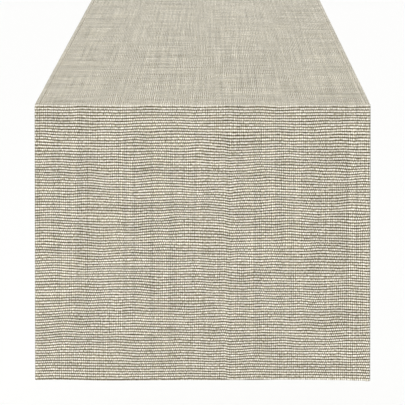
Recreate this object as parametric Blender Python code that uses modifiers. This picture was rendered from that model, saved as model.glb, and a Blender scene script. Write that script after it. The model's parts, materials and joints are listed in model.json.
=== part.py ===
"""A ribbed woven table runner, draped lengthwise over a table.

The cloth lies on the table plane z = 0 and hangs straight down past both table edges.
X runs across the runner, Y along it and Z up. The origin is the centre of the underside that
rests on the table. Lengths are in metres. The table itself isn't modelled.

Each drop hangs from a fold over the table's rounded edge. It lifts outward about the centre of
that rounding, so its parts hang under an empty that stands there.
"""

from math import cos, pi, sin

import bmesh
import bpy
from mathutils import Matrix, Vector

# Driving dimensions. Each can be changed by itself.
LENGTH = 2.286  # the runner laid flat, from turned end to turned end
WIDTH = 0.3556  # from side edge to side edge
DROP = 0.294  # from the table plane down to the turned end
CLOTH = 0.0016  # thickness of the woven cloth over its ribs
EDGE_RADIUS = 0.003  # rounding of the table edge that the cloth bends over
SIDE_HEM = 0.005  # width of the band turned under along each side
SIDE_HEM_THICK = 0.0022  # the turned band pressed flat, both layers together
END_HEM = 0.012  # height of the end turned up behind each drop
THREAD = 0.0005  # diameter of the sewing thread
GAP = 0.0003  # clearance between pieces that touch
ARC_STEPS = 8  # flats that make each quarter bend

# Worked out from them.
BEND = (pi / 2) * (EDGE_RADIUS + CLOTH / 2)  # cloth used up by one fold
FALL = DROP - EDGE_RADIUS  # the straight part of a drop
TOP = LENGTH - 2 * (BEND + FALL)  # the flat part on the table
SEAM = THREAD + 2 * GAP  # the groove that holds the thread between cloth and side hem
FIELD = WIDTH - 2 * (SIDE_HEM + SEAM)  # the woven field between the side hems
HEM_X = WIDTH / 2 - SIDE_HEM / 2  # centre of a side hem
SEAM_X = WIDTH / 2 - SIDE_HEM - SEAM / 2  # centre of the groove
SEAM_RADIUS = EDGE_RADIUS + CLOTH / 2  # the seam's thread bends half way through the cloth
LIFT = GAP + THREAD / 2  # thread centre above a face that it lies on


def linear(code):
    """The linear colour of an sRGB hex code."""
    parts = [int(code[i : i + 2], 16) / 255 for i in (0, 2, 4)]
    return [p / 12.92 if p <= 0.04045 else ((p + 0.055) / 1.055) ** 2.4 for p in parts] + [1.0]


def material(name, code, roughness):
    """A plain matte cloth or thread: Principled, no metal."""
    made = bpy.data.materials.new(name)
    made.use_nodes = True
    shader = made.node_tree.nodes["Principled BSDF"]
    shader.inputs["Base Color"].default_value = linear(code)
    shader.inputs["Roughness"].default_value = roughness
    shader.inputs["Metallic"].default_value = 0.0
    made.diffuse_color = linear(code)
    return made


def add(name, data, parent=None, where=(0, 0, 0)):
    """Puts a mesh or curve in the runner's collection, under its hinge if it has one."""
    made = bpy.data.objects.new(name, data)
    parts.objects.link(made)
    made.parent = parent
    made.location = where
    return made


def slab(name, size, where, look, parent=None):
    """A flat piece of cloth: a cube stretched in its mesh, so that its scale stays 1."""
    mesh = bpy.data.meshes.new(name)
    shape = bmesh.new()
    bmesh.ops.create_cube(shape, size=1.0, matrix=Matrix.Diagonal((*size, 1.0)))
    shape.to_mesh(mesh)
    shape.free()
    mesh.materials.append(look)
    return add(name, mesh, parent, where)


def bend(name, side, x, width, thick, look):
    """A quarter bend over the table edge. side is -1 at the front and 1 at the back.

    An edge across the cloth is spun about the rounding's centre, and Solidify thickens the
    open surface outward, so that its inner face follows the table edge.
    """
    mesh = bpy.data.meshes.new(name)
    shape = bmesh.new()
    ends = [shape.verts.new((x + half * width / 2, 0, EDGE_RADIUS)) for half in (-1, 1)]
    line = shape.edges.new(ends)
    bmesh.ops.spin(
        shape,
        geom=[*ends, line],
        cent=(0, 0, 0),
        axis=(1, 0, 0),
        angle=-side * pi / 2,
        steps=ARC_STEPS,
    )
    for face in shape.faces:  # every face looks away from the table edge
        face.normal_update()
        out = Vector((0, face.calc_center_median().y, face.calc_center_median().z))
        if face.normal.dot(out) < 0:
            face.normal_flip()
    shape.to_mesh(mesh)
    shape.free()
    mesh.materials.append(look)
    mesh.shade_smooth()
    made = add(name, mesh, None, (0, side * TOP / 2, -EDGE_RADIUS))
    layer = made.modifiers.new("cloth_thickness", "SOLIDIFY")
    layer.thickness = thick
    layer.offset = 1.0
    layer.use_even_offset = True
    return made


def thread(name, route, look, parent=None):
    """A row of sewing thread through the points of its route."""
    curve = bpy.data.curves.new(name, "CURVE")
    curve.dimensions = "3D"
    curve.bevel_depth = THREAD / 2
    curve.bevel_resolution = 2
    curve.use_fill_caps = True
    run = curve.splines.new("POLY")
    run.points.add(len(route) - 1)
    for point, place in zip(run.points, route, strict=True):
        point.co = (*place, 1)
    curve.materials.append(look)
    return add(name, curve, parent)


for old in list(bpy.data.objects):
    bpy.data.objects.remove(old, do_unlink=True)

parts = bpy.data.collections.new("table_runner")
bpy.context.scene.collection.children.link(parts)

# The cloth on the table: the woven field, and on each side a hem with its thread in the seam.
slab(
    "top_panel",
    (FIELD, TOP - 2 * GAP, CLOTH),
    (0, 0, CLOTH / 2),
    material("woven_cloth_top", "c3bcac", 0.95),
)
for hand, side in (("left", -1), ("right", 1)):
    slab(
        f"top_hem_{hand}",
        (SIDE_HEM, TOP - 2 * GAP, SIDE_HEM_THICK),
        (side * HEM_X, 0, SIDE_HEM_THICK / 2),
        material(f"side_hem_top_{hand}", "c9c2b1", 0.95),
    )
    thread(
        f"top_thread_{hand}",
        [(side * SEAM_X, along, CLOTH / 2) for along in (-TOP / 2 + GAP, TOP / 2 - GAP)],
        material(f"sewing_thread_top_{hand}", "cfc8b8", 0.8),
    )

# Each end: the fold over the table edge, then the drop below it.
for end, away in (("front", -1), ("back", 1)):
    bend(
        f"{end}_fold",
        away,
        0,
        FIELD,
        CLOTH,
        material(f"woven_cloth_{end}_fold", "cbc4b3", 0.95),
    )
    for hand, side in (("left", -1), ("right", 1)):
        bend(
            f"{end}_fold_hem_{hand}",
            away,
            side * HEM_X,
            SIDE_HEM,
            SIDE_HEM_THICK,
            material(f"side_hem_{end}_fold_{hand}", "c9c2b1", 0.95),
        )
        first = GAP / SEAM_RADIUS  # the angle that keeps a gap to the straight rows
        turn = [first + k * (pi / 2 - 2 * first) / ARC_STEPS for k in range(ARC_STEPS + 1)]
        thread(
            f"{end}_fold_thread_{hand}",
            [
                (
                    side * SEAM_X,
                    away * (TOP / 2 + SEAM_RADIUS * sin(angle)),
                    SEAM_RADIUS * cos(angle) - EDGE_RADIUS,
                )
                for angle in turn
            ],
            material(f"sewing_thread_{end}_fold_{hand}", "cfc8b8", 0.8),
        )

    # The drop turns about the centre of the table edge's rounding.
    hinge = bpy.data.objects.new(f"{end}_drop_hinge", None)
    hinge.location = (0, away * TOP / 2, -EDGE_RADIUS)
    parts.objects.link(hinge)
    inner = away * EDGE_RADIUS  # the drop's face towards the table, from the hinge
    middle = -GAP - (FALL - GAP) / 2  # half way down the straight part
    slab(
        f"{end}_drop_panel",
        (FIELD, CLOTH, FALL - GAP),
        (0, inner + away * CLOTH / 2, middle),
        material(f"woven_cloth_{end}_drop", "bbb4a3", 0.95),
        hinge,
    )
    for hand, side in (("left", -1), ("right", 1)):
        slab(
            f"{end}_drop_hem_{hand}",
            (SIDE_HEM, SIDE_HEM_THICK, FALL - GAP),
            (side * HEM_X, inner + away * SIDE_HEM_THICK / 2, middle),
            material(f"side_hem_{end}_drop_{hand}", "c9c2b1", 0.95),
            hinge,
        )
        thread(
            f"{end}_drop_thread_{hand}",
            [(side * SEAM_X, away * SEAM_RADIUS, height) for height in (-GAP, -FALL)],
            material(f"sewing_thread_{end}_drop_{hand}", "cfc8b8", 0.8),
            hinge,
        )

    # The end hem is the cloth turned up behind the drop, and its thread runs along the upper edge.
    slab(
        f"{end}_end_hem",
        (WIDTH, CLOTH, END_HEM),
        (0, inner - away * (GAP + CLOTH / 2), -FALL + END_HEM / 2),
        material(f"end_hem_{end}", "b3ac9b", 0.95),
        hinge,
    )
    row = inner - away * LIFT
    height = -FALL + END_HEM + LIFT
    thread(
        f"{end}_end_thread",
        [(-FIELD / 2, row, height), (FIELD / 2, row, height)],
        material(f"sewing_thread_{end}_end", "cfc8b8", 0.8),
        hinge,
    )

print(f"flat on the table {TOP:.4f} m, each fold {BEND:.4f} m, each straight drop {FALL:.4f} m")
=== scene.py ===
# %% [markdown]
# # A ribbed table runner
# A table runner is one long strip of cloth. This one is a rib weave: a thick soft weft is beaten
# down over a fine warp, so ridges about 3 mm apart run across the cloth with a dark groove
# between each two. The long edges are turned under and blind stitched, and so are the ends.
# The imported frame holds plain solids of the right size. This file makes the cloth that shows.

import json
from math import cos, pi, radians, sin

import bmesh
import bpy
from mathutils import Matrix, Vector, noise


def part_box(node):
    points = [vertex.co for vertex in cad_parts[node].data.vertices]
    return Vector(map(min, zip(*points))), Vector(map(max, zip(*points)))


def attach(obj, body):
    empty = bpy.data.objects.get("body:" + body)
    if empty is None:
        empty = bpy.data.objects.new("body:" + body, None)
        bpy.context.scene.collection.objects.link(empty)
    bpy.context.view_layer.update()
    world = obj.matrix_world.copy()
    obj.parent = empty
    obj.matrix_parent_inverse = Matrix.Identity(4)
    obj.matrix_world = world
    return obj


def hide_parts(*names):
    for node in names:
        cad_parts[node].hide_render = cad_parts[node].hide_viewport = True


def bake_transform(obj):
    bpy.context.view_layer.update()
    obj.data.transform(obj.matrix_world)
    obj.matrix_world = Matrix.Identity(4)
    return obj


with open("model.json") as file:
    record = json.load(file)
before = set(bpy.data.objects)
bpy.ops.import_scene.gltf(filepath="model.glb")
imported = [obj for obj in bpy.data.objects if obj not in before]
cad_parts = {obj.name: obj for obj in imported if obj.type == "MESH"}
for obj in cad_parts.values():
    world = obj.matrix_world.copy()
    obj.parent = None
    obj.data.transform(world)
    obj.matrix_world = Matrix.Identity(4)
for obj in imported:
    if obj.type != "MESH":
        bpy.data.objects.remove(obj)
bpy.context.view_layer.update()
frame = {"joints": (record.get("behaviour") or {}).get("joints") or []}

# %% [markdown]
# ## Sizes
# Every place comes from the frame. The hinge of each drop stands at the centre of the table
# edge's rounding, so its height gives the rounding and its distance gives the flat length.

# %% Read the sizes
MM = 0.001
hinge = next(j for j in frame["joints"] if j["name"] == "front_drop_lift")["pos_m"]
HALF = -hinge[1]  # from the middle of the table to where the bend starts
EDGE = -hinge[2]  # rounding of the table edge
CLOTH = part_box("top_panel")[1][2]  # thickness over the ribs
WIDTH = 2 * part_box("top_hem_right")[1][0]
HEM = WIDTH / 2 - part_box("top_hem_right")[0][0]  # width of a side hem
HEM_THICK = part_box("top_hem_right")[1][2]
DROP = -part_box("front_drop_panel")[0][2]
END_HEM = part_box("front_end_hem")[1][2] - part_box("front_end_hem")[0][2]
LAP = 0.3 * MM  # air between the drop and the hem turned up behind it
print(f"width {WIDTH:.4f}, flat {2 * HALF:.4f}, drop {DROP:.4f}, cloth {CLOTH:.4f} m")

# %% [markdown]
# ## The line that the cloth follows
# A sheet could be draped by simulation, but this cloth hangs dead straight and its ribs have to
# meet at every seam. So one function says where a point of the flat cloth lies once it is laid
# over the table: `s` is how far along the cloth it is, and `n` how far above the underside.
# Below s = 0 the cloth turns up behind the drop, which makes the end hem. The cloth takes the
# table's edge a little sharper than the solids do, because a pressed cloth folds sharply.

# %% Path of the cloth
TURN = (CLOTH + LAP) / 2  # radius of the turned end, at the middle of the cloth
SINK = -DROP + CLOTH + LAP / 2  # height of that turn's centre
FOLD = 1.0 * MM  # inner radius of the cloth's fold
CORNER = HALF + EDGE - FOLD  # from the middle of the table to where the fold starts
FALL = -FOLD - SINK  # straight part of a drop
BEND = pi / 2 * (FOLD + CLOTH / 2)  # cloth used up by the fold
LONG = 2 * (FALL + BEND + CORNER)  # from turn to turn


def path(s, n):
    """(y, z) of a point s along the cloth from its front turn and n above its underside."""
    if s > LONG / 2:
        y, z = path(LONG - s, n)
        return -y, z
    if s >= FALL + BEND:
        return s - FALL - BEND - CORNER, n
    if s >= FALL:
        angle = (s - FALL) / BEND * pi / 2
        return -CORNER - (FOLD + n) * cos(angle), (FOLD + n) * sin(angle) - FOLD
    if s >= 0:
        return -HALF - EDGE - n, SINK + s
    reach = n + LAP / 2
    angle = min(-s / TURN, pi)
    rise = max(-s - pi * TURN, 0.0)
    return -HALF - EDGE + LAP / 2 - reach * cos(angle), SINK + rise - reach * sin(angle)


RIBS = round(LONG / (2.855 * MM))  # a rib and its groove take about 2.86 mm
RIB = LONG / RIBS  # from one groove to the next
DROP_RIBS = round((FALL + 0.7 * BEND) / RIB)  # from a foot to the groove that lies in the fold
FRONT_RIBS = DROP_RIBS + 8  # the front sheet ends just past the fold
WARP = 2.1 * MM  # from one group of warp threads to the next
print(f"{RIBS} ribs of {RIB / MM:.3f} mm, {DROP_RIBS} of them on a drop")

# %% [markdown]
# ## How the weave wanders
# No hand or loom beats every weft down to the same line. The ribs drift by about a millimetre
# over a few centimetres, they are packed a little closer near a foot than near a fold, they
# swell and thin where the yarn is slubby, and along one warp line right of the middle they step
# by nearly half a rib. The press holds them nearly straight at the fold and at the foot. A
# modifier with a noise texture could move them, but smooth noise in code can read the rib's
# number in place of its height, so neighbouring strips agree at their joins.

# %% Drift and swelling of the ribs
WIDE_DRIFT, CLOSE_DRIFT = 1.7 * MM, 1.15 * MM  # how far the wide and the close waves reach
PACKED = 5.0 * MM  # how much the packing adds up to
STEP = 0.42 * RIB  # drop of the ribs at the warp line
STEP_FROM, STEP_TO = 0.022, 0.028  # where that line is, right of the middle
STEP_FADES = (88, 94)  # ribs above a foot where the step dies out


def ease(value, low, high):
    """0 below low, 1 above high, and a smooth step between."""
    t = min(max((value - low) / (high - low), 0.0), 1.0)
    return t * t * (3 - 2 * t)


def drift(x, rib):
    """How far along the cloth a rib strays at x. The noises change every few cm and ribs."""
    wide = noise.noise(Vector((x / 0.055, rib / 15, 1.3)))
    close = noise.noise(Vector((x / 0.02, rib / 7, 7.7)))
    nearest = min(rib, RIBS - rib)  # ribs from the nearer foot
    between = ease(abs(nearest - DROP_RIBS), 1, 14) * ease(nearest, 0, 12)
    loose = 0.3 + 0.15 * ease(nearest, 20, 80) + 0.55 * between
    step = STEP * ease(x, STEP_FROM, STEP_TO) * (1 - ease(nearest, *STEP_FADES))
    up = min(nearest / DROP_RIBS, 1.0)  # 0 at a foot, 1 from the fold on
    return loose * (WIDE_DRIFT * wide + CLOSE_DRIFT * close) - step - PACKED * up * (1 - up)


def swell(x, rib):
    """How much thicker or thinner than usual a rib is at x."""
    return 1 + 0.28 * noise.noise(Vector((x / 0.011, round(rib) * 1.7, 3.1)))


strays = [drift(0.01 * k, r) / MM for k in range(-17, 18) for r in range(RIBS)]
print(f"ribs stray from {min(strays):.1f} to {max(strays):.1f} mm")

# %% [markdown]
# ## How a drop hangs
# A drop isn't a board. It stands a millimetre or two away from the table, its foot runs in a
# slow wave, and it stretches and widens a little under its own weight. All three grow from
# nothing at the fold to their most at the foot. A lattice could pull the cloth into that shape,
# but the function that already places every point can add it, and then the hem, its thread and
# the field move together.

# %% Hang of the drops
STAND_OUT = 1.6 * MM  # how far a foot stands from the table, before its slow wave
WIDEN = 0.0078  # share by which a foot is wider than a fold
RIPPLE, STRETCH = 1.1, 0.5  # height of the foot's wave and sinking of the foot, in mm


def sway(x, s):
    """How far a drop stands away from the table, most at its foot, as hanging cloth does."""
    fall = max(min(s, LONG - s), 0.0)
    if fall >= FALL:
        return 0.0
    return STAND_OUT * (1 - fall / FALL) * (1 + noise.noise(Vector((x / 0.1, s / 0.12, 5.2))))


def place(x, rib, n):
    """Where a point of the cloth lies: x across, rib by rib along, n above the underside."""
    s = rib * RIB + drift(x, max(min(rib, RIBS), 0))
    end = -1 if s < LONG / 2 else 1
    low = min(max(1 - min(s, LONG - s) / FALL, 0.0), 1.0)  # 1 at a foot, 0 from the fold on
    ripple = noise.noise(Vector((x / 0.07, 4.0 * end, 2.2)))
    y, z = path(s, n)
    sink = (RIPPLE * ripple - STRETCH) * MM * low
    return Vector((x * (1 + WIDEN * low), y + end * sway(x, s), z + sink))


stands = path(0, 0)[0] - place(0, 0, 0).y
print(f"a foot stands out by {stands / MM:.2f} mm in its middle")

# %% [markdown]
# ## Cloth as a strip
# Every piece of this cloth is the same thing: a flat grid, given its second face by solidify,
# and then carried onto the path. A plain plane with a displacement could stand in for the ribs,
# but it would have no edge, and its ribs would be too soft. One function makes a strip from two
# lists: where the columns lie across the cloth, and which ribs the rows follow. Each rib gets
# four rows, so its ridge and its groove are real shape. The map named weave keeps the flat place
# of every corner: one unit along V is one rib and one unit along U is one group of warp threads,
# so the finish can follow the weave through every bend. Edges where the faces turn by a right
# angle stay sharp, so that two strips that meet shade as one.

# %% Strip of cloth
SHARP = radians(60)  # the grid's own edges are flat or square, so this parts the two


def ridge(rib):
    """0 in the groove between two ribs and 1 on the crest."""
    return sin(pi * (rib % 1.0)) ** 0.5


def rows_of(first, last):
    """Four rows for each rib from first to last, set close to the groove."""
    return [k + part for k in range(first, last) for part in (0.0, 0.2, 0.5, 0.8)] + [last]


def spread(low, high, count):
    """count + 1 values from low to high."""
    return [low + (high - low) * k / count for k in range(count + 1)]


def finished(name, shape):
    """The bmesh as an object of that name, shaded smooth."""
    mesh = bpy.data.meshes.new(name)
    shape.to_mesh(mesh)
    shape.free()
    for face in mesh.polygons:
        face.use_smooth = True
    made = bpy.data.objects.new(name, mesh)
    bpy.context.scene.collection.objects.link(made)
    return made


def strip(name, columns, rows, wall):
    """A closed strip of cloth. wall(x, rib) gives the n of its lower and upper face."""
    shape = bmesh.new()
    across, along = len(columns) - 1, len(rows) - 1
    bmesh.ops.create_grid(shape, x_segments=across, y_segments=along, size=0.5)
    bmesh.ops.solidify(shape, geom=shape.faces[:], thickness=1.0)
    bmesh.ops.recalc_face_normals(shape, faces=shape.faces)
    for edge in shape.edges:
        edge.smooth = edge.calc_face_angle() < SHARP
    middle = sum(v.co.z for v in shape.verts) / len(shape.verts)
    flat = shape.loops.layers.uv.new("weave")
    spots = {}
    for v in shape.verts:
        x = columns[round((v.co.x + 0.5) * across)]
        rib = rows[round((v.co.y + 0.5) * along)]
        spots[v] = (x / WARP, rib)
        v.co = place(x, rib, wall(x, rib)[v.co.z > middle])
    for face in shape.faces:
        for corner in face.loops:
            corner[flat].uv = spots[corner.vert]
    return finished(name, shape)


print("rows of one rib", rows_of(0, 1), "with ridges", [round(ridge(r), 2) for r in rows_of(0, 1)])

# %% [markdown]
# ## The woven field
# The field is the cloth between the side hems. One long sheet would be truest to the loom, but a
# drop turns up on its own joint, and a mesh can bend across one joint only. So the field is cut
# into stretches: one over each end's fold and four of about equal length on the table. They share
# the same drift and meet in a groove, where the join can't be seen.

# %% Make the field
SEAM_X = WIDTH / 2 - HEM  # where the field meets the side hem
long_ribs = RIBS - 2 * FRONT_RIBS
cuts = [FRONT_RIBS + round(long_ribs * quarter / 4) for quarter in range(5)]
STRETCHES = {"front": (0, cuts[0])}
for k in range(4):
    STRETCHES[f"top_{k + 1}"] = (cuts[k], cuts[k + 1])
STRETCHES["back"] = (cuts[4], RIBS)


def field_wall(x, rib):
    """The two faces of the field: a rib is round, and thicker or thinner as its yarn is."""
    half = CLOTH / 2 * (0.42 + 0.58 * ridge(rib) * swell(x, rib))
    return CLOTH / 2 - half, CLOTH / 2 + half


field_columns = spread(-SEAM_X, SEAM_X, 60)
cloth = {}
for where, (first, last) in STRETCHES.items():
    cloth[where] = strip(f"woven_cloth_{where}", field_columns, rows_of(first, last), field_wall)
    print(cloth[where].name, last - first, "ribs,", 2 * len(cloth[where].data.polygons), "faces")

# %% [markdown]
# ## Side hems
# A side hem is the cloth's edge folded under and pressed: a narrow band, a little thicker than
# the field, with a round outer edge. Each rib runs on into it and turns round the edge, which
# leaves a row of small knuckles down the side. A bevelled tube would give the round edge without
# the knuckles. The same strip as the field gives both, with its columns set closer towards the
# edge and its thickness swelling at every rib.

# %% Make the side hems
SIDES = {"left": -1, "right": 1}


def hem_wall(x, rib):
    """The two faces of a side hem: full thickness inside, round at the outer edge."""
    out = max((abs(x) - SEAM_X) / HEM, 0.0)
    rounding = 0.2 + 0.8 * max(1 - out**5, 0.0) ** 0.5
    half = HEM_THICK / 2 * rounding * (0.66 + 0.34 * ridge(rib))
    return HEM_THICK / 2 - half, HEM_THICK / 2 + half


hems = {where: [] for where in STRETCHES}
for hand, side in SIDES.items():
    across = sorted(side * (SEAM_X + HEM * part) for part in (0, 0.3, 0.6, 0.82, 0.94, 1))
    for where, (first, last) in STRETCHES.items():
        name = f"side_hem_{hand}_{where}"
        hems[where].append(strip(name, across, rows_of(first, last), hem_wall))
print(sum(len(found) for found in hems.values()), "stretches of side hem,", HEM / MM, "mm wide")

# %% [markdown]
# ## End hems
# At each end the cloth is brought round under the drop and up behind it, so from the front only
# its round turn shows. A flat band set behind the drop would leave that turn open. The path goes
# on past the foot, so one more strip with rows below rib 0 goes round the turn and up.

# %% Make the end hems
TURNED = (pi * TURN + END_HEM - CLOTH - LAP / 2) / RIB  # ribs from the turn to its upper edge


def end_wall(x, rib):
    """The two faces of an end hem, pressed a little thinner than the field."""
    half = CLOTH / 2 * (0.5 + 0.42 * ridge(rib))
    return CLOTH / 2 - half, CLOTH / 2 + half


end_columns = spread(-WIDTH / 2 + 0.3 * MM, WIDTH / 2 - 0.3 * MM, 62)
turn_rows = spread(0.0, TURNED, 28)  # fine enough for the round turn
end_hems = {
    "front": strip("end_hem_front", end_columns, [-r for r in turn_rows[::-1]], end_wall),
    "back": strip("end_hem_back", end_columns, [RIBS + r for r in turn_rows], end_wall),
}
print(f"end hems turned up by {TURNED:.1f} ribs")

# %% [markdown]
# ## Hem stitches
# A hem is blind stitched: one short stitch catches every rib beside the hem, and what shows is
# a small grain of thread. A curve would make one long tube, but the real thread dives through
# the cloth between stitches. So each stitch is a small round grain of six sides, stretched
# along the seam and set on its own rib.


# %% One stitch
def stitch(shape, x, rib, n, size):
    """Adds one stitch to a bmesh. size is its half width, half length and half height."""
    spot = place(x, rib, n)
    along = (place(x, rib + 0.15, n) - place(x, rib - 0.15, n)).normalized()
    up = (place(x, rib, n + 0.5 * MM) - spot).normalized()
    aside = along.cross(up)
    turn = Matrix((aside, along, up)).transposed().to_4x4()
    scale = Matrix.Diagonal((*size, 1.0))
    bmesh.ops.create_uvsphere(
        shape,
        u_segments=6,
        v_segments=4,
        radius=1.0,
        matrix=Matrix.Translation(spot) @ turn @ scale,
    )


STITCH = (0.45 * MM, 0.9 * MM, 0.35 * MM)
print("a stitch is", round(2 * STITCH[1] / MM, 1), "mm long")

# %% Make the stitches
BESIDE = 0.9 * MM  # from a side hem to its stitches
END_STITCHES = 109  # along an end hem
END_DEPTH = 0.55 * MM  # place of the end stitches in the thickness of the turned cloth
stitches = {where: [] for where in STRETCHES}
for hand, side in SIDES.items():
    for where, (first, last) in STRETCHES.items():
        row = bmesh.new()
        for k in range(first, last):
            stitch(row, side * (SEAM_X - BESIDE), k + 0.5, CLOTH, STITCH)
        stitches[where].append(finished(f"hem_stitches_{hand}_{where}", row))

end_stitches = {}
for end, sign, foot in (("front", -1, 0), ("back", 1, RIBS)):
    row = bmesh.new()
    for x in spread(-SEAM_X, SEAM_X, END_STITCHES - 1):
        stitch(row, x, foot + sign * (TURNED + 0.05), END_DEPTH, STITCH)
    end_stitches[end] = finished(f"end_stitches_{end}", row)
print(2 * RIBS, "stitches along the sides and", 2 * END_STITCHES, "at the ends")

# %% [markdown]
# ## Colours and nodes
# A finish is a small network of shader nodes. They could be placed by hand in the editor. In
# code, one function that adds any node, gives it its values and links it, keeps every network
# readable.

# %% Colours and nodes
MIX_A, MIX_B = 6, 7  # places of the two colours among a Mix node's inputs
CREAM = "f7f4ee"  # the palest yarn


def linear(colour):
    """An sRGB hex colour such as e8e0cc as linear RGBA."""
    parts = [int(colour[k : k + 2], 16) / 255 for k in (0, 2, 4)]
    return [p / 12.92 if p <= 0.04045 else ((p + 0.055) / 1.055) ** 2.4 for p in parts] + [1.0]


def new_look(name):
    """An empty node material."""
    look = bpy.data.materials.new(name)
    look.use_nodes = True
    look.node_tree.nodes.clear()
    return look


def add(look, kind, *values, named=None, **settings):
    """Adds a node. Its inputs take values, sockets or other nodes, in their order or by name."""
    node = look.node_tree.nodes.new("ShaderNode" + kind)
    for setting, choice in settings.items():
        setattr(node, setting, choice)
    for socket, value in [*enumerate(values), *(named or {}).items()]:
        if isinstance(value, bpy.types.Node):
            value = next(output for output in value.outputs if output.enabled)
        if isinstance(value, bpy.types.NodeSocket):
            look.node_tree.links.new(value, node.inputs[socket])
        else:
            node.inputs[socket].default_value = value
    return node


print("cream", [round(part, 3) for part in linear(CREAM)])

# %% [markdown]
# ## Finish of the woven cloth
# The cloth is a cotton and linen rib weave, undyed, so its yarn is cream, with olive grey where
# the fine warp pulls it down between two ribs; deeper in the groove the colour darkens further as
# painted shade. An image of cloth could be laid over it, but it would repeat and blur. A network
# that
# reads the map named weave can follow every rib: V gives the rib and the place on it, and U
# counts warp groups, 2.1 mm each, which is coarser than real warp so that it can show.
# Its noises each have the size of a real fault. Slubs are thick places in one rib's yarn, from
# about 15 mm long. Streaks are warp threads that show for some 30 cm. Bands are a few ribs of
# darker yarn. Patches, about as big as a palm, are where the weft was beaten harder. Fuzz is the
# fibre.

# %% Faults of the yarn
SLUBS = 0.14  # slubs for each warp group


def grain(look, flat, across, along, detail=2.0):
    """Noise from -1 to 1. It changes this often per warp group and per rib."""
    at = add(look, "VectorMath", flat, (across, along, 1), operation="MULTIPLY")
    found = add(look, "TexNoise", named={"Vector": at, "Scale": 1.0, "Detail": detail})
    return add(look, "Math", found, 2.0, -1.0, operation="MULTIPLY_ADD")


def slubs(look, u, rib):
    """Thick and thin places in the yarn of one rib, from -1 to 1."""
    along_yarn = add(look, "Math", u, SLUBS, operation="MULTIPLY")
    one_rib = add(look, "Math", rib, 3.7, operation="MULTIPLY")  # far apart, so that ribs differ
    at = add(look, "CombineXYZ", along_yarn, one_rib)
    yarn = add(look, "TexNoise", named={"Vector": at, "Scale": 1.0, "Detail": 3.0})
    return add(look, "Math", yarn, 2.0, -1.0, operation="MULTIPLY_ADD")


def beads(look, flat, u, rib):
    """Small round tops where the weft goes over the warp, staggered in some patches."""
    chosen = add(look, "Math", grain(look, flat, 0.06, 0.04, 0.0), 0.0, operation="GREATER_THAN")
    wander = add(look, "Math", grain(look, flat, 0.2, 0.08), 0.6, u, operation="MULTIPLY_ADD")
    half_step = add(look, "Math", rib, 0.5, operation="MULTIPLY")
    warp = add(look, "Math", half_step, chosen, wander, operation="MULTIPLY_ADD")
    turn = add(look, "Math", warp, 2 * pi, operation="MULTIPLY")
    return add(look, "Math", turn, operation="SINE")


print("a slub is about", round(WARP / SLUBS / MM), "mm long, a bead", round(WARP / MM, 1), "mm")

# %% [markdown]
# ## How high the yarn stands
# The colour follows one number: 0 deep in a groove, 1 on top of a crest, and so it paints the
# groove's shade into the colour. Two finishes and a mask could mark groove and crest, but one
# number can be pushed up and down by every fault. Two places are special. The cloth is opened out
# over the fold, so the groove that lies there fills with painted light and the crests beside it
# get a painted highlight, and a line of painted shade runs down the seam of each side hem.

# %% Height of the yarn
SLUB_LIFT, BEAD_LIFT, FUZZ_LIFT = 0.08, 0.17, 0.66  # how far each fault moves the height
SEAM_SHADE_HALF_WIDTH, SEAM_SHADE_DEPTH = 0.3, -0.06  # half width in warp groups, and depth, of the painted shade line down the seam
MIDDLE = 0.55  # the height that grooves and crests shrink to in a harder beaten patch or a fold
FOLD_HIGHLIGHT, OPENED = 0.07, 0.9  # how far a fold's crests get a painted highlight and its groove fills with painted light


def yarn_height(look, flat, u, v, nearest, slub, bead, fuzz, lift):
    """The height that the colour follows. nearest counts ribs from the nearer foot."""
    part = add(look, "Math", v, operation="FRACT")
    crest = add(look, "Math", add(look, "Math", part, pi, operation="MULTIPLY"), operation="SINE")
    height = add(look, "Math", crest, 0.81, lift, operation="MULTIPLY_ADD")
    for fault, strength in ((slub, SLUB_LIFT), (bead, BEAD_LIFT), (fuzz, FUZZ_LIFT)):
        height = add(look, "Math", fault, strength, height, operation="MULTIPLY_ADD")
    across = add(look, "Math", u, operation="ABSOLUTE")
    # painted shade along the seam between field and hem
    seam = add(look, "Math", across, SEAM_X / WARP, SEAM_SHADE_HALF_WIDTH, operation="COMPARE")
    height = add(look, "Math", seam, SEAM_SHADE_DEPTH, height, operation="MULTIPLY_ADD")

    patch = add(look, "Math", grain(look, flat, 0.05, 0.03), 0.4, operation="MULTIPLY")
    weak = add(look, "Math", patch, 0.0, operation="MAXIMUM")
    from_fold = add(look, "Math", nearest, DROP_RIBS, operation="SUBTRACT")
    from_fold = add(look, "Math", from_fold, operation="ABSOLUTE")
    # painted highlight on the crests beside the fold, and painted light filling its groove
    fold_highlight = add(look, "MapRange", from_fold, 0.45, 3.0, FOLD_HIGHLIGHT, 0.0)
    height = add(look, "Math", fold_highlight, crest, height, operation="MULTIPLY_ADD")
    opened = add(look, "MapRange", from_fold, 0.2, 0.45, OPENED, 0.0)
    weak = add(look, "Math", weak, opened, operation="MAXIMUM")
    to_middle = add(look, "Math", MIDDLE, height, operation="SUBTRACT")
    return add(look, "Math", to_middle, weak, height, operation="MULTIPLY_ADD")


print("the seam lies", round(SEAM_X / WARP, 1), "warp groups from the middle")

# %% [markdown]
# ## Colour of the yarn and the painted shade of the groove
# Undyed cotton and linen run from olive grey to cream, and the ramp goes on down through olive
# brown to a near black brown, which is painted shade deep in the groove. A plain mix of two
# colours could do, but the middle tones would turn out too warm, so a ramp has six.

# %% Colour of the yarn and painted groove shade
GROOVE_TO_CREST = (
    # the darkest two are painted shade deep in the groove, not the yarn's own colour
    (0.0, "281d10"),
    (0.2, "4e4029"),
    (0.45, "918a74"),
    (0.7, "c9c3b0"),
    (0.85, "e4dfd3"),
    (1.0, CREAM),
)


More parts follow.
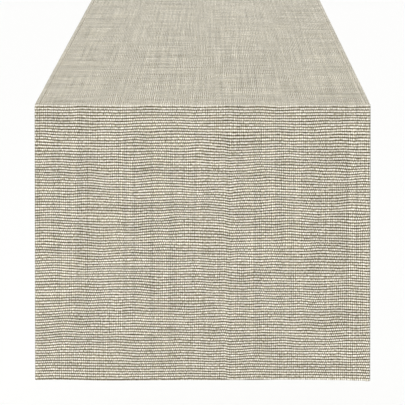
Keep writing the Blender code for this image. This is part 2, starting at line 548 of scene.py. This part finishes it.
def yarn_colour_and_groove_shade(look, height):
    """The ramp from the painted shade of the groove to the cream crest."""
    ramp = add(look, "ValToRGB", height)
    low, high = ramp.color_ramp.elements
    low.color, high.color = linear(GROOVE_TO_CREST[0][1]), linear(GROOVE_TO_CREST[-1][1])
    for position, colour in GROOVE_TO_CREST[1:-1]:
        ramp.color_ramp.elements.new(position).color = linear(colour)
    return ramp


print(len(GROOVE_TO_CREST), "colours from groove to crest")

# %% [markdown]
# ## The finish itself
# Cotton and linen are matt and soft: rough, hardly any gloss, and a trace of sheen from loose
# fibre. Field and hem could each have a network of their own, but they are one cloth, so one
# function makes both. The bands are the yarn's own, but where the cloth lies on the table they are
# painted darker than on a drop, and that extra is painted shade of uneven ribs. The outer edge of
# a hanging hem turns away into shade, so it gets a painted blue grey shade line, deeper on the
# right than on the left, which fades out over the fold.

# %% Finish of the cloth
EDGE_SHADE = "5d6567"
SHADE_FROM, SHADE_TO = WIDTH / 2 - 1.2 * MM, WIDTH / 2 - 0.3 * MM  # where the shade deepens
SHADE_FADES = (DROP_RIBS - 6, DROP_RIBS + 6)  # and the ribs over which it fades at a fold
STREAK_SHADE, BAND_SHADE, SLUB_SHADE = 0.21, 0.2, 0.05  # how far a fault darkens the yarn
TABLE_BAND_SHADE = 0.26  # how much more a band darkens where the cloth lies on the table, as painted shade


def rib_weave(name, lift=0.0, right_shade=0.0, left_shade=0.0):
    """Woven ribs. lift makes them paler and the shades darken the two outer edges."""
    look = new_look(name)
    flat = add(look, "UVMap", uv_map="weave")
    u, v = add(look, "SeparateXYZ", flat).outputs[:2]
    v = add(look, "Math", grain(look, flat, 0.25, 0.15), 0.05, v, operation="MULTIPLY_ADD")
    rib = add(look, "Math", v, operation="FLOOR")
    slub, bead = slubs(look, u, rib), beads(look, flat, u, rib)
    streak = grain(look, flat, 0.75, 0.008, 0.0)
    band = grain(look, flat, 0.022, 0.3, 1.0)
    fuzz = grain(look, flat, 1.8, 1.2, 3.0)
    nearest = add(look, "Math", v, RIBS / 2, operation="PINGPONG")
    height = yarn_height(look, flat, u, v, nearest, slub, bead, fuzz, lift)

    # painted shade: bands darken more on the table than on a drop
    lies_on_table = add(look, "Math", nearest, DROP_RIBS, operation="GREATER_THAN")
    uneven = add(look, "Math", lies_on_table, TABLE_BAND_SHADE, BAND_SHADE, operation="MULTIPLY_ADD")
    shade = add(look, "Math", streak, STREAK_SHADE, 1.0, operation="MULTIPLY_ADD")
    shade = add(look, "Math", band, uneven, shade, operation="MULTIPLY_ADD")
    shade = add(look, "Math", slub, SLUB_SHADE, shade, operation="MULTIPLY_ADD")
    # the ramp paints the grooves' shade into the colour
    colour = yarn_colour_and_groove_shade(look, height)
    colour = add(look, "VectorMath", colour, operation="SCALE", named={"Scale": shade})

    hangs = add(look, "MapRange", nearest, *SHADE_FADES, 1.0, 0.0)
    for side, deep in ((1, right_shade), (-1, left_shade)):
        if deep:
            out = add(look, "Math", u, side * WARP, operation="MULTIPLY")
            shadow = add(look, "MapRange", out, SHADE_FROM, SHADE_TO, 0.0, deep)
            shadow = add(look, "Math", shadow, hangs, operation="MULTIPLY")
            tints = {"Factor": shadow, MIX_A: colour, MIX_B: linear(EDGE_SHADE)}
            colour = add(look, "Mix", named=tints, data_type="RGBA")

    fibre = add(look, "Math", fuzz, 0.6, operation="MULTIPLY")
    relief = add(look, "Math", bead, 0.8, fibre, operation="MULTIPLY_ADD")
    bump = add(look, "Bump", named={"Height": relief, "Strength": 0.5, "Distance": 0.25 * MM})
    rough = add(look, "Math", fuzz, 0.05, 0.9, operation="MULTIPLY_ADD")
    matt = {"Base Color": colour, "Roughness": rough, "Specular IOR Level": 0.15, "Normal": bump}
    matt |= {"Sheen Weight": 0.04, "Sheen Roughness": 0.6}
    add(look, "OutputMaterial", add(look, "BsdfPrincipled", named=matt))
    return look


woven = rib_weave("rib_weave_cotton_linen")
pressed = rib_weave("rib_weave_pressed_hem", lift=0.05, right_shade=0.6, left_shade=0.25)
print(len(woven.node_tree.nodes), "nodes in the woven finish")

# %% [markdown]
# ## Sewing thread
# The hems are sewn with spun polyester: two plies twisted, matt, about as pale as the yarn. The
# twist could be modelled by turning two strands round each other, but a stitch is too small to
# show it as shape, so fine noise gives it as bump and as painted light and shade in the colour.

# %% Finish of the thread
PLY = 0.625 * MM  # one painted light and dark pair of the twist
thread = new_look("sewing_thread_spun_polyester")
on_piece = add(thread, "TexCoord").outputs["Object"]
ply = add(thread, "TexNoise", named={"Vector": on_piece, "Scale": 1 / PLY, "Detail": 2.0})
# painted light and shade of the twist
twist_light_and_shade = {"Factor": ply, MIX_A: linear("c8bfab"), MIX_B: linear("f8f2e6")}
painted_twist = add(thread, "Mix", named=twist_light_and_shade, data_type="RGBA")
twist = add(thread, "Bump", named={"Height": ply, "Strength": 0.5, "Distance": 0.1 * MM})
strand = {"Base Color": painted_twist, "Roughness": 0.6, "Specular IOR Level": 0.4, "Normal": twist}
add(thread, "OutputMaterial", add(thread, "BsdfPrincipled", named=strand))
print(len(thread.node_tree.nodes), "nodes in the thread's finish")

# %% [markdown]
# ## Joining the pieces to the frame
# What lies on the table rides on the top, and an end hem with its stitches rides on its drop. A
# drop could ride on its own body too, but then the cloth would break at the table's edge when it
# is lifted. What crosses a fold keeps its place baked into its mesh and is joined to no body here.
# Each piece hides the solids it stands for and gets its finish, and the size of each sheet is
# printed.


def join(piece, where, look, nodes):
    """Fixes a piece on the table to the top's body or bakes the place of a piece over a fold into
    its mesh, hides the solids it stands for, and gives it its finish.
    """
    if where in ("front", "back"):
        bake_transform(piece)
    else:
        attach(piece, "top")
    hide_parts(*nodes)
    piece.data.materials.append(look)


def stands_for(where, part, hand=""):
    """The solids that one stretch of the panel, a hem or a thread row stands for."""
    tail = f"_{hand}" if hand else ""
    if where in ("front", "back"):
        fold = f"{where}_fold" if part == "panel" else f"{where}_fold_{part}{tail}"
        return [f"{where}_drop_{part}{tail}", fold]
    return [f"top_{part}{tail}"]


for where, (first, last) in STRETCHES.items():
    join(cloth[where], where, woven, stands_for(where, "panel"))
    for hand, hem, row in zip(SIDES, hems[where], stitches[where]):
        join(hem, where, pressed, stands_for(where, "hem", hand))
        join(row, where, thread, stands_for(where, "thread", hand))
    on_it = hems[where] + stitches[where]
    if where in end_hems:
        for piece, slot, look, part in (
            (end_hems[where], "hem", pressed, "end_hem"),
            (end_stitches[where], "sewing_thread", thread, "end_thread"),
        ):
            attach(piece, f"{where}_drop")
            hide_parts(f"{where}_{part}")
            piece.data.materials.append(look)
            on_it.append(piece)
    print(where, "sheet", round(2 * SEAM_X, 4), "x", round((last - first) * RIB, 4), "m")

# %% [markdown]
# ## Floor and light
# The floor is a wide pale plane at table height below the cloth, so that nothing casts a hard
# shadow on it. A small lamp would draw a black line under every rib. The light is a white sky and
# one large soft lamp above and in front, which shows the ribs without hard glints.

# %% Floor and light
TABLE_HEIGHT = 0.75
sheet_of_floor = bmesh.new()
bmesh.ops.create_grid(sheet_of_floor, x_segments=1, y_segments=1, size=40.0)
bmesh.ops.translate(sheet_of_floor, verts=sheet_of_floor.verts, vec=(0, 0, -TABLE_HEIGHT))
floor = finished("floor", sheet_of_floor)
pale = new_look("floor_matt_white")
paint = {"Base Color": linear("fdfdfc"), "Roughness": 1.0}
add(pale, "OutputMaterial", add(pale, "BsdfPrincipled", named=paint))
floor.data.materials.append(pale)

sky = bpy.data.worlds.new("studio_sky")
sky.use_nodes = True
sky.node_tree.nodes["Background"].inputs["Color"].default_value = linear("ffffff")
sky.node_tree.nodes["Background"].inputs["Strength"].default_value = 1.0
bpy.context.scene.world = sky

lamp = bpy.data.lights.new("soft_box", "AREA")
lamp.shape, lamp.size, lamp.size_y = "RECTANGLE", 2.4, 1.6
lamp.energy = 36.0
soft_box = bpy.data.objects.new("soft_box", lamp)
from_drop = Vector((-1.0, -3.1, 1.35))  # a little to the left of the camera, and above it
soft_box.rotation_euler = (-from_drop).to_track_quat("-Z", "Y").to_euler()
soft_box.location = from_drop + Vector((0, -HALF, -DROP / 2))
bpy.context.scene.collection.objects.link(soft_box)
print("lamp", round(from_drop.length, 2), "m from the middle of the drop")

# %% [markdown]
# ## Camera
# The camera is a long lens a few metres away: it looks down a little, so the top is a shallow
# shape that narrows, and the drop stays almost a rectangle. A short lens close by would show as
# much of the drop, but the top would narrow far faster.

# %% Camera
DISTANCE = 3.4  # from the drop to the lens
ASIDE, ABOVE = 0.0098, 0.3435  # from the middle of the cloth, and above the table
DOWN, TURNED_LEFT = 7.476, 0.167  # where it looks, in degrees
lens = bpy.data.cameras.new("long_lens")
lens.sensor_width, lens.lens, lens.clip_end = 36.0, 287.0, 200.0
camera = bpy.data.objects.new("camera", lens)
camera.location = (ASIDE, -HALF - EDGE - CLOTH - DISTANCE, ABOVE)
camera.rotation_euler = (radians(90 - DOWN), 0, radians(TURNED_LEFT))
bpy.context.scene.collection.objects.link(camera)
bpy.context.scene.camera = camera
bpy.context.scene.view_settings.view_transform = "Standard"
share = lens.lens / lens.sensor_width * WIDTH / DISTANCE
print("the drop takes", round(share, 2), "of the picture's width")
